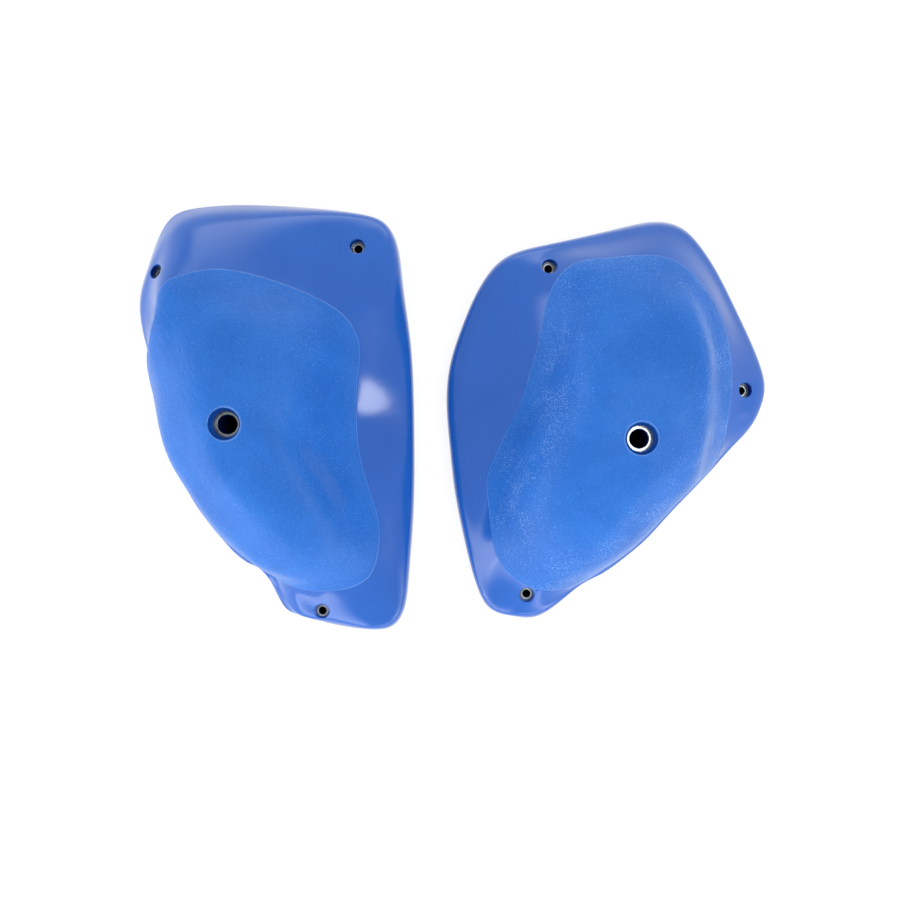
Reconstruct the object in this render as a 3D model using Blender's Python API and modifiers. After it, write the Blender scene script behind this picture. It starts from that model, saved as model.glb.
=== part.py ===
"""A matched pair of bolt-on climbing holds, cast in polyurethane with moulded-in steel washers.

Each hold is one thick-skinned casting with a hollow back. A column carries the bolt hole from the
wall face up to a counterbored mouth on the crown, three small bosses take the screws that stop the
hold from turning, and ribs tie the column to the bosses and to the skin. The wall face lies at
z = 0, +X is the picture's right, +Y its top, and +Z points away from the wall. All sizes are metres.
"""

import math

import bpy
import numpy as np

# Driving sizes of the two castings: the spans of the rim's section points, and the height of the
# highest section point over the wall face. The skin crowns about a millimetre above that.
LEFT_WIDTH = 0.1898
LEFT_LENGTH = 0.2929
LEFT_HEIGHT = 0.0840
RIGHT_WIDTH = 0.2195
RIGHT_LENGTH = 0.2723
RIGHT_HEIGHT = 0.0800

# How the pair lies: the clear space between the two rims, and how far the right hold sits lower.
GAP_BETWEEN_HOLDS = 0.0210
RIGHT_HOLD_DROP = 0.0016

# The foot of the skirt: how much of the skirt's height it takes, and the share of the way in to the
# skirt's section at which it ends, which grows with that way.
FOOT_RISE = 0.74
FOOT_SHARE = 0.22
FOOT_SHARE_GROWTH = 28.0

# The casting.
SKIN_THICKNESS = 0.008
RIM_LAND = 0.010
POCKET_EDGE_DEPTH = 0.005
RIB_THICKNESS = 0.006
RIB_RECESS = 0.003
COLUMN_WALL = 0.0075
COLUMN_DRAFT = 0.03
BOSS_WALL = 0.0048

# The bolt: an M10 cap screw, its washer and the passage through the casting.
BOLT_MOUTH_RADIUS = 0.01025
BOLT_MOUTH_ROUNDING = 0.0008
BOLT_LIP_RADIUS = 0.0087
BOLT_COUNTERBORE_DEPTH = 0.0100
BOLT_COUNTERBORE_CHAMFER = 0.0009
BOLT_PASSAGE_RADIUS = 0.0064
BOLT_WASHER_RADIUS = 0.0102
BOLT_WASHER_BORE = 0.0061
BOLT_WASHER_THICKNESS = 0.0030
BOLT_WASHER_CHAMFER = 0.0005
LEFT_BOLT_DEPTH = 0.0180
RIGHT_BOLT_DEPTH = 0.0170

# The anti-rotation screws, their washers and their holes.
SCREW_MOUTH_RADIUS = 0.0050
SCREW_PASSAGE_RADIUS = 0.0033
SCREW_WASHER_RADIUS = 0.0055
SCREW_WASHER_BORE = 0.0031
SCREW_WASHER_THICKNESS = 0.0020
SCREW_WASHER_CHAMFER = 0.0004
SCREW_SEAT_HEIGHT = 0.0060

# A washer is cast in by its flange, and its seat stands up through the lip: the height of that step,
# and the air left round the washer.
WASHER_STEP = 0.0006
WASHER_CLEARANCE = 0.0003

# How far a cutter runs past a face.
CUTTER_OVERRUN = 0.010

# How finely the forms are sampled.
SKIN_COLUMNS = 76
SKIN_ROWS = {"rim": 1, "foot": 2, "skirt": 3, "grip": 3, "flank": 3, "shoulder": 3, "crest": 3}
POCKET_COLUMNS = 60
POCKET_ROWS = 6
BOLT_WASHER_SIDES = 36
SCREW_SIDES = 20

# How finely the skin is sampled where a pocket's roof and outline are worked out from it, and the
# power of the distance between two sections that the loft takes as its knot step.
ROOF_COLUMNS = 300
ROOF_ROWS = 9
OUTLINE_STEPS = 60
RIM_STEPS = 1440
KNOT_POWER = 0.75

# The forms. A hold is a loft through closed sections round its bolt axis, from the rim on the wall
# face up over the grip's edge, where the sanded texture starts, to the crown. One more section, the
# foot, is worked out between the rim and the skirt. A section's points are (x, y, height over the
# wall) in millimetres from the bolt axis as the hold was first laid out, and the loft is stretched to
# the driving sizes above. Screws are (x, y). A rib runs to each screw's boss, and the free ribs
# between them are given in degrees.
SECTION_ORDER = ("rim", "skirt", "grip", "flank", "shoulder", "crest")

LEFT_FORM = {
    "rim": [
        (120, 1, 0), (117, 62, 0), (111.5, 105, 0), (106, 131, 0), (98, 141, 0), (84, 146, 0),
        (55, 149.8, 0), (10, 152.4, 0), (-31.5, 150.2, 0), (-47.3, 144.3, 0), (-57, 129.8, 0),
        (-63.8, 110.7, 0), (-69.8, 84, 0), (-66, 61, 0), (-60.3, 40, 0), (-55.2, 2, 0),
        (-45.5, -27, 0), (-30, -56, 0), (-8, -83.5, 0), (6, -95, 0), (17.5, -103, 0),
        (23, -112, 0), (28.5, -122.5, 0), (37, -129.5, 0), (54, -134.5, 0), (88, -140.5, 0),
        (103, -139, 0), (111.5, -130, 0), (116, -108, 0), (119.5, -60, 0),
    ],
    "skirt": [
        (118, 1, 10), (115, 62, 14), (109, 104, 19), (102.5, 128, 17), (95, 136.5, 15.5),
        (82, 140, 15), (54, 141, 21), (8, 139.2, 27), (-27.5, 136.3, 28), (-41, 130, 27),
        (-49.2, 118.2, 26), (-56, 103.6, 25), (-63, 81, 21), (-62.3, 61, 17), (-58.8, 39, 9),
        (-54.2, 2, 4.5), (-44.7, -26.7, 4.2), (-29.2, -55.4, 4.2), (-7.4, -82.8, 4.2),
        (7, -93.8, 5), (19.5, -101.5, 8), (27, -109.5, 9.5), (34.5, -121, 10.5), (55, -128, 13),
        (86, -135, 12.5), (100, -133, 12), (108, -125, 12.5), (113.5, -105, 14.5),
        (117.5, -60, 14),
    ],
    "grip": [
        (82, 4, 28), (84, -18, 28), (90, -41, 29), (97, -67, 27.5), (96, -87, 26), (89, -103, 26),
        (75, -110, 26), (57, -112, 26), (34, -107, 24), (16.5, -97, 15), (-6.4, -81.8, 9),
        (-28, -54.6, 9), (-43.7, -26.2, 9), (-53.2, 2, 10), (-57.5, 26, 17), (-57.2, 50, 37),
        (-51, 66, 50), (-44, 92, 55), (-33, 98, 55), (-16, 102, 54), (6, 101, 52), (32, 94, 48),
        (57, 84, 42), (76, 71, 37), (84, 54, 32), (83, 32, 28.5),
    ],
    "flank": [
        (65, 4, 43), (72, -38, 43), (81, -67, 42), (75, -90, 43), (50, -101, 44), (21, -95.5, 43),
        (0, -80, 42), (-22.5, -53, 42), (-39.3, -26.7, 43), (-48.4, 1.5, 44), (-52.5, 33, 47),
        (-44, 76, 62), (-14, 88, 62), (30, 78, 60), (60, 60, 51), (66, 34, 45),
    ],
    "shoulder": [
        (45, 4, 73), (55, -33, 71), (64, -64, 66), (54, -83, 62), (28, -82, 63), (-1, -60, 62),
        (-22, -32, 62), (-38, 2, 62), (-42, 34, 64), (-32, 62, 69), (-8, 68, 73), (26, 60, 75),
        (46, 38, 71),
    ],
    "crest": [
        (30, 3, 84), (38, -27, 82.5), (30, -50, 79), (4, -44, 77), (-19, -12, 76), (-23, 22, 77),
        (-10, 40, 80), (16, 38, 83),
    ],
    "mouth": (83.0, 0.08, 0.02),
    "screws": {"side": (-53, 103), "top": (81.5, 120.5), "toe": (57, -126.2)},
    "free_ribs": (2, 205),
}

RIGHT_FORM = {
    "rim": [
        (94, 34.1, 0), (90.8, 50.6, 0), (69.7, 98.2, 0), (50, 133, 0), (40.1, 143.8, 0),
        (25.2, 149.9, 0), (-0.5, 147.2, 0), (-59.5, 133.8, 0), (-86.5, 124.4, 0),
        (-100.5, 108.6, 0), (-114.5, 78.6, 0), (-123.5, 49.6, 0), (-125.5, 23.6, 0),
        (-123.5, -3.4, 0), (-119.5, -38.4, 0), (-112.5, -72.4, 0), (-104.5, -101.4, 0),
        (-94.5, -117.4, 0), (-77.5, -122.4, 0), (-59.5, -120.9, 0), (-38, -104.6, 0),
        (-19.5, -93.6, 0), (-4.9, -83.6, 0), (7.1, -73.9, 0), (22.6, -58.1, 0), (41.1, -38.4, 0),
        (59.1, -19.3, 0), (74.5, -2.4, 0), (84.9, 9.6, 0), (90, 19.4, 0),
    ],
    "skirt": [
        (87.5, 33.2, 17), (84.5, 49.1, 18), (64.5, 94.1, 18), (45.5, 126.6, 17),
        (36.5, 135.8, 17), (24, 140.4, 19), (-0.5, 138.2, 19), (-57.5, 127.6, 15),
        (-82.5, 119.1, 12), (-97, 105.6, 11), (-111.5, 77.6, 10.5), (-121, 48.6, 11),
        (-123, 23.6, 11.5), (-121, -3.4, 11.5), (-116.5, -37.4, 12), (-109.5, -70.4, 10.5),
        (-101, -98.9, 10), (-91.5, -112.9, 10.5), (-77.5, -117.4, 10.5), (-59.8, -115.4, 9),
        (-38.7, -103, 5.5), (-20.1, -92.5, 3.8), (-5.5, -82.7, 3.8), (6.5, -73.1, 3.8),
        (21.9, -57.4, 3.8), (40.3, -37.7, 4), (57.9, -19, 5.5), (71.7, -1.6, 11), (80.7, 10, 15),
        (85, 19.2, 16),
    ],
    "grip": [
        (65.5, 39.6, 37), (62.5, 65.6, 38), (54.5, 87.6, 39), (40.5, 107.6, 41),
        (24.5, 119.2, 42), (2.5, 122.2, 42), (-21.5, 120.3, 40), (-41.5, 116.6, 37),
        (-52.5, 105.6, 35), (-59.5, 88.6, 33), (-63.5, 67.6, 31.5), (-68.5, 49.6, 30.5),
        (-75.5, 26.6, 29), (-85.5, 4.6, 26), (-93.5, -12.4, 23), (-98.5, -27.4, 21),
        (-97.5, -42.4, 21), (-95.5, -60.4, 22.5), (-90.5, -81.4, 22.5), (-78.5, -95.4, 21),
        (-57.5, -102.7, 20), (-39.7, -100.8, 12), (-20.8, -91.2, 8), (-6.4, -81.5, 8),
        (5.5, -72, 8), (20.9, -56.4, 8), (39.3, -36.8, 8.5), (54.5, -21.2, 11.5), (61, -8.9, 18),
        (63.5, 7.6, 28),
    ],
    "flank": [
        (52, 39.6, 54), (49, 65.6, 54), (41.5, 87.6, 53), (30.5, 102.6, 52), (2.5, 109.6, 52),
        (-30.5, 103.6, 50), (-49.5, 67.6, 45), (-60.5, 26.6, 43), (-76.5, -12.4, 41),
        (-81.5, -42.4, 39), (-74.5, -74.4, 37), (-48.5, -90.9, 36), (-24.5, -85.7, 36),
        (-0.2, -70.3, 37), (16.7, -54.7, 38), (28.7, -41.8, 40), (39.8, -29, 43),
        (46.7, -8.8, 47), (51, 11.6, 50),
    ],
    "shoulder": [
        (45.5, 39.6, 70), (40.5, 69.6, 69), (28.5, 85.6, 67), (1.5, 90.6, 64), (-26.5, 84.6, 61),
        (-41.5, 47.6, 64), (-52.5, 7.6, 64), (-64.5, -32.4, 60), (-57.5, -62.4, 57),
        (-26.5, -68.4, 59), (-2.5, -54.4, 61), (17.5, -36.4, 63), (33.5, -17.4, 66),
        (42.5, 9.6, 69),
    ],
    "crest": [
        (26.5, 27.6, 80), (9.5, 47.6, 79), (-16.5, 41.6, 78.5), (-31.5, 5.6, 78),
        (-35.5, -28.4, 74), (-12.5, -36.4, 74), (9.5, -22.4, 76), (23.5, 1.6, 78.5),
    ],
    "mouth": (80.0, 0.02, 0.02),
    "screws": {"top": (-55.5, 116.2), "side": (76, 33), "toe": (-70.5, -105.4)},
    "free_ribs": (172, 306),
}

URETHANE_BLUE = (0.058, 0.190, 0.640)
URETHANE_ROUGHNESS = 0.42
STEEL_GREY = (0.56, 0.55, 0.52)
STEEL_ROUGHNESS = 0.28


def clear_scene():
    """Remove what a new file starts with."""
    for item in list(bpy.data.objects):
        bpy.data.objects.remove(item)


def new_collection(name):
    made = bpy.data.collections.new(name)
    bpy.context.scene.collection.children.link(made)
    return made


def stretched(form, width, length, height):
    """The form's sections, screws and mouth in metres, with the rim's points spanning the sizes."""
    rim = np.array(form["rim"], float)
    top = max(max(point[2] for point in form[name]) for name in SECTION_ORDER)
    across = width / np.ptp(rim[:, 0])
    along = length / np.ptp(rim[:, 1])
    up = height / top
    fitted = {name: np.array(form[name], float) * (across, along, up) for name in SECTION_ORDER}
    level, slope_x, slope_y = form["mouth"]
    fitted["mouth"] = (level * up, slope_x, slope_y)
    fitted["screws"] = {name: (x * across, y * along) for name, (x, y) in form["screws"].items()}
    fitted["ribs"] = [math.atan2(y, x) for x, y in fitted["screws"].values()]
    fitted["ribs"] += [math.radians(turn) for turn in form["free_ribs"]]
    return fitted


def closed_spline(knots, values, at):
    """A smooth closed curve through values at the knot angles, read at other angles."""
    count = len(knots)
    span = np.diff(np.append(knots, knots[0] + math.tau))
    slope = (np.roll(values, -1) - values) / span
    system = np.zeros((count, count))
    for i in range(count):
        system[i, i - 1] += span[i - 1]
        system[i, i] += 2 * (span[i - 1] + span[i])
        system[i, (i + 1) % count] += span[i]
    bend = np.linalg.solve(system, 6 * (slope - np.roll(slope, 1)))
    turned = (at - knots[0]) % math.tau + knots[0]
    i = np.clip(np.searchsorted(knots, turned, side="right") - 1, 0, count - 1)
    j = (i + 1) % count
    return piece_of_spline(span[i], turned - knots[i], values[i], values[j], bend[i], bend[j])


def piece_of_spline(span, along, start, end, start_bend, end_bend):
    """A cubic between two knots, from its values and second derivatives at both."""
    rest = span - along
    curved = (start_bend * rest**3 + end_bend * along**3) / (6 * span)
    straight = (start / span - start_bend * span / 6) * rest + (end / span - end_bend * span / 6) * along
    return curved + straight


def section_at(points, angles):
    """Radius and height of a closed section at each angle round the bolt axis."""
    turn = np.arctan2(points[:, 1], points[:, 0]) % math.tau
    order = np.argsort(turn)
    turn, points = turn[order], points[order]
    radius = closed_spline(turn, np.hypot(points[:, 0], points[:, 1]), angles)
    return radius, closed_spline(turn, points[:, 2], angles)


def open_bends(knots, values):
    """Second derivatives of a free-ended spline through each row of values."""
    rows, count = knots.shape
    span = np.diff(knots, axis=1)
    slope = np.diff(values, axis=1) / span
    system = np.zeros((rows, count, count))
    right = np.zeros((rows, count, 1))
    system[:, 0, 0] = 1
    system[:, -1, -1] = 1
    for i in range(1, count - 1):
        system[:, i, i - 1] = span[:, i - 1]
        system[:, i, i] = 2 * (span[:, i - 1] + span[:, i])
        system[:, i, i + 1] = span[:, i]
        right[:, i, 0] = 6 * (slope[:, i] - slope[:, i - 1])
    return np.linalg.solve(system, right)[:, :, 0]


def loft_skin(hold, angles, rows):
    """Rings of the outer skin, rim first and the bolt's mouth last, as an array of points."""
    radii, heights = [], []
    for name in SECTION_ORDER:
        radius, height = section_at(hold[name], angles)
        radii.append(radius)
        heights.append(height)
    mouth = BOLT_MOUTH_RADIUS + BOLT_MOUTH_ROUNDING
    level, slope_x, slope_y = hold["mouth"]
    radii.append(np.full_like(angles, mouth))
    heights.append(level + mouth * (slope_x * np.cos(angles) + slope_y * np.sin(angles)))
    inward = radii[0] - radii[1]
    radii.insert(1, radii[0] - inward * (FOOT_SHARE + FOOT_SHARE_GROWTH * inward))
    heights.insert(1, FOOT_RISE * heights[1])
    radii, heights = np.stack(radii, 1), np.stack(heights, 1)
    step = np.hypot(np.diff(radii, axis=1), np.diff(heights, axis=1)) ** KNOT_POWER
    knots = np.concatenate([np.zeros((len(angles), 1)), np.cumsum(step, axis=1)], axis=1)
    out, up = open_bends(knots, radii), open_bends(knots, heights)
    rings = []
    for k, name in enumerate(rows):
        for part in range(int(rows[name])):
            span = step[:, k]
            along = span * part / rows[name]
            r = piece_of_spline(span, along, radii[:, k], radii[:, k + 1], out[:, k], out[:, k + 1])
            z = piece_of_spline(span, along, heights[:, k], heights[:, k + 1], up[:, k], up[:, k + 1])
            rings.append(ring(r, z, angles))
    rings.append(ring(radii[:, -1], heights[:, -1], angles))
    return np.array(rings)


def ring(radius, height, angles):
    """Points round the bolt axis."""
    height = np.broadcast_to(height, angles.shape)
    return np.stack([radius * np.cos(angles), radius * np.sin(angles), height], 1)


def spread_angles(hold, count):
    """Angles that lie closer together where the rim runs fast, so that its corners stay round."""
    fine = np.linspace(0, math.tau, RIM_STEPS + 1)
    radius, _ = section_at(hold["rim"], fine)
    x, y = radius * np.cos(fine), radius * np.sin(fine)
    run = np.hypot(np.diff(x), np.diff(y))
    weight = np.append(0, np.cumsum(run + run.mean()))
    return np.interp(np.arange(count) * weight[-1] / count, weight, fine)


def ring_faces(rings, count):
    """Quads between rings of equal count, wound so that they face out on a ring stack going up."""
    faces = []
    for k in range(rings - 1):
        for i in range(count):
            j = (i + 1) % count
            faces.append((k * count + i, k * count + j, (k + 1) * count + j, (k + 1) * count + i))
    return faces


def mesh_object(name, points, faces, collection, parent):
    mesh = bpy.data.meshes.new(name)
    mesh.from_pydata([tuple(point) for point in points], [], faces)
    mesh.validate()
    return linked(name, mesh, collection, parent)


def linked(name, mesh, collection, parent):
    made = bpy.data.objects.new(name, mesh)
    made.parent = parent
    collection.objects.link(made)
    return made


def washer_levels(hold, depth):
    """Heights of the bolt washer's underside and seat over the wall face."""
    top = hold["mouth"][0] - depth
    return top - BOLT_WASHER_THICKNESS, top


def casting_rings(hold, angles, depth):
    """The skin's rings, then the bolt's passage down through the column to the wall face."""
    skin = loft_skin(hold, angles, SKIN_ROWS)
    below, above = washer_levels(hold, depth)
    groove = BOLT_WASHER_RADIUS + WASHER_CLEARANCE
    lip = above - WASHER_STEP + WASHER_CLEARANCE
    step = above + BOLT_COUNTERBORE_DEPTH
    mouth_edge = skin[-1][:, 2] - BOLT_MOUTH_ROUNDING
    passage = [
        ring(BOLT_MOUTH_RADIUS, mouth_edge, angles),
        ring(BOLT_LIP_RADIUS + BOLT_COUNTERBORE_CHAMFER, step, angles),
        ring(BOLT_LIP_RADIUS, step - BOLT_COUNTERBORE_CHAMFER, angles),
        ring(BOLT_LIP_RADIUS, lip, angles),
        ring(groove, lip, angles),
        ring(groove, below - WASHER_CLEARANCE, angles),
        ring(BOLT_PASSAGE_RADIUS, below - WASHER_CLEARANCE, angles),
        ring(BOLT_PASSAGE_RADIUS, 0.0, angles),
    ]
    return np.concatenate([skin, passage])


def build_casting(name, hold, depth, collection, parent):
    """The solid casting: skin, bolt passage and the flat wall face between their last rings."""
    angles = spread_angles(hold, SKIN_COLUMNS)
    rings = casting_rings(hold, angles, depth)
    count = len(angles)
    faces = ring_faces(len(rings), count)
    last = (len(rings) - 1) * count
    for i in range(count):
        j = (i + 1) % count
        faces.append((last + i, last + j, j, i))
    return mesh_object(name, rings.reshape(-1, 3), faces, collection, parent)


def ceiling_height(skin, x, y):
    """How high a pocket may reach at (x, y) with the skin's full thickness left over it."""
    away = (skin[:, 0] - x) ** 2 + (skin[:, 1] - y) ** 2
    near = away < SKIN_THICKNESS**2
    if not near.any():
        return 0.0
    return (skin[near, 2] - np.sqrt(SKIN_THICKNESS**2 - away[near])).min()


def pocket_outline(hold, skin, angles, inner):
    """Outer radius of the hollow at each angle: inside the rim's land, and never a thin wedge."""
    rim, _ = section_at(hold["rim"], angles)
    outline = []
    for angle, edge in zip(angles, rim):
        radii = np.linspace(edge - RIM_LAND, inner, OUTLINE_STEPS)
        room = [ceiling_height(skin, r * math.cos(angle), r * math.sin(angle)) for r in radii]
        deep = np.nonzero(np.array(room) >= POCKET_EDGE_DEPTH)[0]
        outline.append(radii[deep[0]] if len(deep) else inner)
    outline = np.array(outline)
    narrowest = np.minimum(outline, np.minimum(np.roll(outline, 1), np.roll(outline, -1)))
    return (np.roll(narrowest, 1) + 2 * narrowest + np.roll(narrowest, -1)) / 4


def build_hollow(name, hold, collection, parent):
    """The cutter of the hollow back: a ring round the column, roofed a skin's thickness below."""
    fine = np.linspace(0, math.tau, ROOF_COLUMNS + 1)[:-1]
    skin = loft_skin(hold, fine, dict.fromkeys(SKIN_ROWS, ROOF_ROWS)).reshape(-1, 3)
    angles = np.linspace(0, math.tau, POCKET_COLUMNS + 1)[:-1]
    column = BOLT_WASHER_RADIUS + WASHER_CLEARANCE + COLUMN_WALL
    tall = column + COLUMN_DRAFT * hold["mouth"][0]
    outline = pocket_outline(hold, skin, angles, tall + RIB_THICKNESS)
    rings = [ring(column, -CUTTER_OVERRUN, angles), ring(outline, -CUTTER_OVERRUN, angles)]
    for share in np.linspace(1, 0, POCKET_ROWS):
        radius = tall + (outline - tall) * share
        x, y = radius * np.cos(angles), radius * np.sin(angles)
        roof = np.array([ceiling_height(skin, u, v) for u, v in zip(x, y)])
        rings.append(ring(radius, roof, angles))
    count = len(angles)
    faces = ring_faces(len(rings), count)
    last = (len(rings) - 1) * count
    for i in range(count):
        j = (i + 1) % count
        faces.append((last + i, last + j, j, i))
    return mesh_object(name, np.concatenate(rings), faces, collection, parent)


def build_rib(name, turn, length, height, collection, parent):
    """A rib's block, kept out of the hollow: from the bolt axis out, clear of the wall face."""
    bpy.ops.mesh.primitive_cube_add(size=1)
    block = bpy.context.object
    block.name = name
    block.scale = (length, RIB_THICKNESS, height)
    block.rotation_euler = (0, 0, turn)
    block.location = (math.cos(turn) * length / 2, math.sin(turn) * length / 2, RIB_RECESS + height / 2)
    return regrouped(block, collection, parent)


def build_boss(name, place, height, collection, parent):
    """A screw boss kept out of the hollow, flush with the wall face."""
    radius = SCREW_WASHER_RADIUS + WASHER_CLEARANCE + BOSS_WALL
    bpy.ops.mesh.primitive_cylinder_add(vertices=SCREW_SIDES, radius=radius, depth=2 * height)
    post = bpy.context.object
    post.name = name
    post.location = (place[0], place[1], 0)
    return regrouped(post, collection, parent)


def regrouped(item, collection, parent):
    """Move a primitive from the scene's active collection to its own."""
    for group in list(item.users_collection):
        group.objects.unlink(item)
    collection.objects.link(item)
    item.parent = parent
    return item


def turned(name, profile, sides, collection, parent):
    """A solid of revolution about Z: the profile's (radius, height) points run down its outside."""
    mesh = bpy.data.meshes.new(name)
    points = [(radius, 0, height) for radius, height in profile]
    mesh.from_pydata(points, [(i, i + 1) for i in range(len(points) - 1)], [])
    made = linked(name, mesh, collection, parent)
    spin = made.modifiers.new("turned", "SCREW")
    spin.angle = math.tau
    spin.steps = sides
    spin.render_steps = sides
    spin.use_merge_vertices = True
    spin.merge_threshold = 0.00002
    return made


def screw_cutter(name, place, height, collection, parent):
    """The screw's mouth, the washer's groove and the passage to the wall face, as one cutter."""
    below = SCREW_SEAT_HEIGHT
    lip = below + SCREW_WASHER_THICKNESS - WASHER_STEP + WASHER_CLEARANCE
    groove = SCREW_WASHER_RADIUS + WASHER_CLEARANCE
    profile = [
        (0, height), (SCREW_MOUTH_RADIUS, height), (SCREW_MOUTH_RADIUS, lip),
        (groove, lip), (groove, below - WASHER_CLEARANCE),
        (SCREW_PASSAGE_RADIUS, below - WASHER_CLEARANCE), (SCREW_PASSAGE_RADIUS, -CUTTER_OVERRUN),
        (0, -CUTTER_OVERRUN),
    ]
    made = turned(name, profile, SCREW_SIDES, collection, parent)
    made.location = (place[0], place[1], 0)
    return made


def washer(name, radius, lip, bore, thickness, chamfer, sides, collection, parent):
    """A steel ring: a flange to be cast in under the lip, and a raised seat with a chamfered bore."""
    seat = lip - WASHER_CLEARANCE
    flange = thickness - WASHER_STEP
    corner = chamfer / 3
    profile = [
        (bore, corner), (bore, thickness - chamfer), (bore + chamfer, thickness), (seat, thickness),
        (seat, flange), (radius - corner, flange), (radius, flange - corner), (radius, corner),
        (radius - corner, 0), (bore + corner, 0), (bore, corner),
    ]
    made = turned(name, profile, sides, collection, parent)
    finish(made, STEEL_GREY, STEEL_ROUGHNESS, 1.0)
    return made


def cut(target, cutter):
    """Take a cutter out of a solid, and show the cutter as a wire guide."""
    step = target.modifiers.new(cutter.name, "BOOLEAN")
    step.operation = "DIFFERENCE"
    step.solver = "EXACT"
    step.object = cutter
    cutter.hide_render = True
    cutter.display_type = "WIRE"


def finish(item, colour, roughness, metallic):
    """Give an object its own material."""
    material = bpy.data.materials.new(item.name)
    material.use_nodes = True
    shader = material.node_tree.nodes["Principled BSDF"]
    shader.inputs["Base Color"].default_value = (*colour, 1)
    shader.inputs["Roughness"].default_value = roughness
    shader.inputs["Metallic"].default_value = metallic
    item.data.materials.append(material)


def build_hold(name, hold, depth, parts, cutters):
    """One hold on an empty at its bolt axis: the cast body, the bolt washer, the screw washers."""
    axis = bpy.data.objects.new(name + "_axis", None)
    parts.objects.link(axis)
    body = build_casting(name + "_hold_body", hold, depth, parts, axis)
    body.data.shade_smooth()
    finish(body, URETHANE_BLUE, URETHANE_ROUGHNESS, 0.0)

    reach = max(np.hypot(hold["rim"][:, 0], hold["rim"][:, 1]))
    clear_height = hold["mouth"][0] + CUTTER_OVERRUN
    hollow = build_hollow(name + "_hollow", hold, cutters, axis)
    for number, turn in enumerate(hold["ribs"]):
        cut(hollow, build_rib(f"{name}_rib_{number}", turn, reach, clear_height, cutters, axis))
    for place_name, place in hold["screws"].items():
        cut(hollow, build_boss(f"{name}_boss_{place_name}", place, clear_height, cutters, axis))
    cut(body, hollow)

    for place_name, place in hold["screws"].items():
        cut(body, screw_cutter(f"{name}_screw_{place_name}", place, clear_height, cutters, axis))
        ring_name = f"{name}_screw_washer_{place_name}"
        piece = washer(ring_name, SCREW_WASHER_RADIUS, SCREW_MOUTH_RADIUS, SCREW_WASHER_BORE,
                       SCREW_WASHER_THICKNESS, SCREW_WASHER_CHAMFER, SCREW_SIDES, parts, axis)
        piece.location = (place[0], place[1], SCREW_SEAT_HEIGHT)
    piece = washer(name + "_bolt_washer", BOLT_WASHER_RADIUS, BOLT_LIP_RADIUS, BOLT_WASHER_BORE,
                   BOLT_WASHER_THICKNESS, BOLT_WASHER_CHAMFER, BOLT_WASHER_SIDES, parts, axis)
    piece.location = (0, 0, washer_levels(hold, depth)[0])
    return axis, body


def spans(body):
    """Lowest and highest corner of a casting about its own bolt axis."""
    corners = np.array([vertex.co for vertex in body.data.vertices])
    return corners.min(0), corners.max(0)


def main():
    clear_scene()
    parts = new_collection("climbing_holds")
    cutters = new_collection("cutters")
    left = stretched(LEFT_FORM, LEFT_WIDTH, LEFT_LENGTH, LEFT_HEIGHT)
    right = stretched(RIGHT_FORM, RIGHT_WIDTH, RIGHT_LENGTH, RIGHT_HEIGHT)
    left_axis, left_body = build_hold("left", left, LEFT_BOLT_DEPTH, parts, cutters)
    right_axis, right_body = build_hold("right", right, RIGHT_BOLT_DEPTH, parts, cutters)

    left_low, left_high = spans(left_body)
    right_low, right_high = spans(right_body)
    total = left_high[0] - left_low[0] + GAP_BETWEEN_HOLDS + right_high[0] - right_low[0]
    left_middle = (left_low[1] + left_high[1]) / 2
    right_middle = (right_low[1] + right_high[1]) / 2
    left_axis.location = (-total / 2 - left_low[0], -left_middle, 0)
    right_axis.location = (total / 2 - right_high[0], -right_middle - RIGHT_HOLD_DROP, 0)


main()
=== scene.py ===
# %% [markdown]
# # A pair of bolt-on climbing holds
# Two climbing holds of one family lie on a pale ground with their wall faces down. Each is a hollow
# polyurethane casting. Its crown is sanded for grip and its skirt is left as glossy as the mould, and
# steel washers for one bolt and three small screws are cast into it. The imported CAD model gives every
# size and place. This notebook builds the finer, dressed pieces that stand for its nodes.

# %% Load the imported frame
import math

import bpy
import numpy as np
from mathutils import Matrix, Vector
from mathutils.bvhtree import BVHTree


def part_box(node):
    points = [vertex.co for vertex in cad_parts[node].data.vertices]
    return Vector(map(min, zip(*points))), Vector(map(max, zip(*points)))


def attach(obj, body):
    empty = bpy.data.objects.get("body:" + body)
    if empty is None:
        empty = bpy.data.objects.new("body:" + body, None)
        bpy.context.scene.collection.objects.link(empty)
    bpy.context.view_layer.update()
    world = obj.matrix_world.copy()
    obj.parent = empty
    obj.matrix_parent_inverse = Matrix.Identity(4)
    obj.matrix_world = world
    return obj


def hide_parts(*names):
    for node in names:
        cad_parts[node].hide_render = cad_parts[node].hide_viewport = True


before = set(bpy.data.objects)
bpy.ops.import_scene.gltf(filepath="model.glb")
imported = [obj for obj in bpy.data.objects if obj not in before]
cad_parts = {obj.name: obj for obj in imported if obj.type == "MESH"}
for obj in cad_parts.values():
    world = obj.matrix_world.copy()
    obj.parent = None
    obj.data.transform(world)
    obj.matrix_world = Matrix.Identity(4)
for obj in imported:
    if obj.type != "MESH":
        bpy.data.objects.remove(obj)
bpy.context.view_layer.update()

print("nodes:", ", ".join(sorted(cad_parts)))

# %% [markdown]
# ## Where things are
# The washers are the surest landmarks of a hold: the bolt washer is centred on the axis that the whole
# form is laid out round, and each screw washer marks one of the small recesses. Their places are read
# from the frame instead of being written down a second time.

# %% Read the axes and the screws from the frame
def middle(node):
    """The centre of a node's box."""
    low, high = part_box(node)
    return (low + high) / 2


def screw_places(side, axis):
    """Each screw's (x, y) about the hold's bolt axis."""
    start = side + "_screw_washer_"
    names = sorted(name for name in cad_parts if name.startswith(start))
    return {name[len(start):]: (middle(name) - axis).xy for name in names}


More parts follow.
